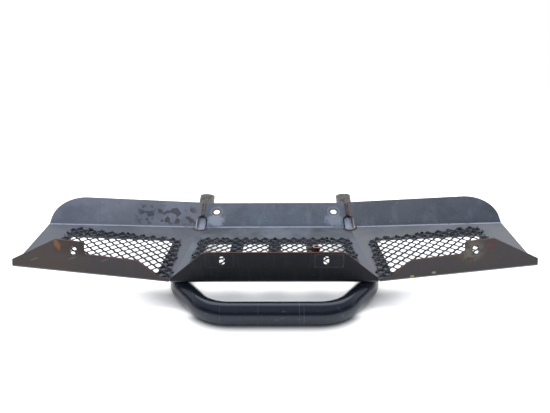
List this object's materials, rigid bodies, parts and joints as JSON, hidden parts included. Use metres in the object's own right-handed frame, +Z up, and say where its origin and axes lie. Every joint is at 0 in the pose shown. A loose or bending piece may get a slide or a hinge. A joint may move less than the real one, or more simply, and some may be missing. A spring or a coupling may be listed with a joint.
{
  "type": "vehicle front grille guard",
  "caption": "Black welded steel front grille guard lying face down: tube hoop, folded centre plate and two wings with expanded mesh over their openings.",
  "frame": {"origin": "bottom centre of the bounding box: on the floor plane, halfway along the width and halfway between the hoop's bar and the leg ends", "axes": "+X across the guard (the picture's right), +Y from the hoop's bar towards the leg ends, +Z up, from the front of the guard to its back as it lies face down on its hoop"},
  "size_m": [1.2888, 0.654, 0.1771],
  "materials": {
    "worn_plate_paint": "worn satin black paint gone blue-grey, water stained, rust at the edges",
    "gloss_black_paint": "gloss black",
    "mesh_paint": "black paint with rust on the cut strands",
    "weld_steel": "bare weld metal, brown with rust",
    "rusty_steel": "rusty"
  },
  "bodies": {
    "root": {"hoop_tube": "gloss_black_paint", "centre_plate": "worn_plate_paint", "left_wing_plate": "worn_plate_paint", "right_wing_plate": "worn_plate_paint", "centre_mesh": "mesh_paint", "left_wing_mesh": "mesh_paint", "right_wing_mesh": "mesh_paint", "left_seam_weld": "weld_steel", "right_seam_weld": "weld_steel", "left_notch_weld": "weld_steel", "right_notch_weld": "weld_steel", "left_leg_welds": "gloss_black_paint", "right_leg_welds": "gloss_black_paint", "left_stub_welds": "weld_steel", "right_stub_welds": "weld_steel", "centre_mesh_tacks": "weld_steel", "left_mesh_tacks": "weld_steel", "right_mesh_tacks": "weld_steel", "weld_nut": "rusty_steel"}
  },
  "joints": []
}
